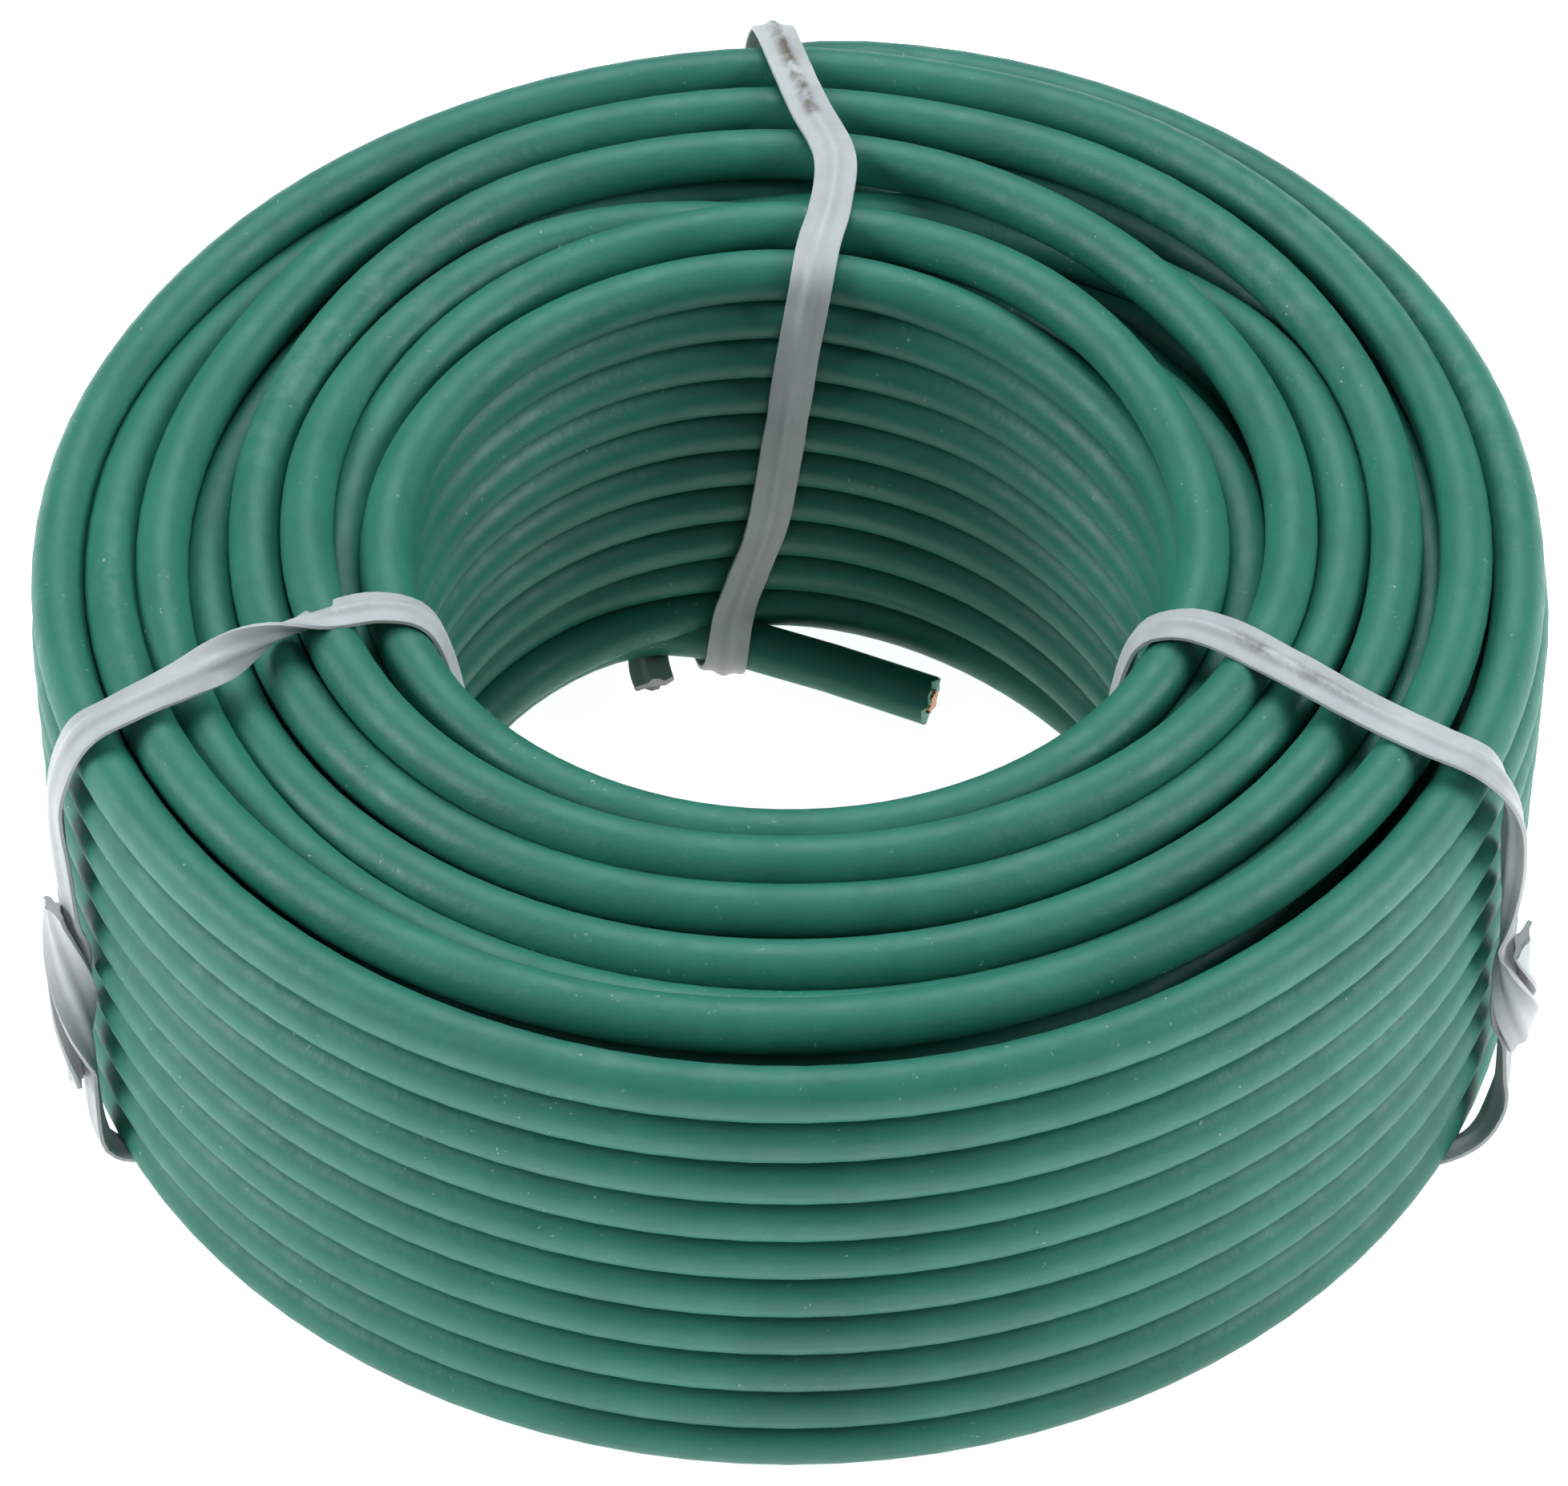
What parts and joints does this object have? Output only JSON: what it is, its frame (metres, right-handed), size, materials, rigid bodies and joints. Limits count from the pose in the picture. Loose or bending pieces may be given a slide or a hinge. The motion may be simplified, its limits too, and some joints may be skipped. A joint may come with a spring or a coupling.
{
  "type": "coil of insulated wire",
  "caption": "Round core-less coil of green insulated single-conductor wire, level-wound in nested layers and held by three white twist ties.",
  "frame": {"origin": "on the coil's axis, in the plane of the surface that the coil lies on", "axes": "+Z along the coil's axis, up from the surface; +Y towards the back tie, away from the hole's viewer; +X to the right"},
  "size_m": [0.0654, 0.0672, 0.026],
  "materials": {
    "insulation": "satin green vinyl insulation",
    "copper": "bare stranded copper, freshly cut",
    "tie_plastic": "thin translucent white plastic ribbon",
    "tie_wire": "thin plain steel wire"
  },
  "bodies": {
    "root": {"wire_coil": "insulation", "wire_tail": "insulation", "wire_end": "insulation", "tail_strands": "copper", "end_strands": "copper", "tie_left": "tie_plastic", "tie_right": "tie_plastic", "tie_back": "tie_plastic", "tie_left_core": "tie_wire", "tie_right_core": "tie_wire", "tie_back_core": "tie_wire"}
  },
  "joints": []
}
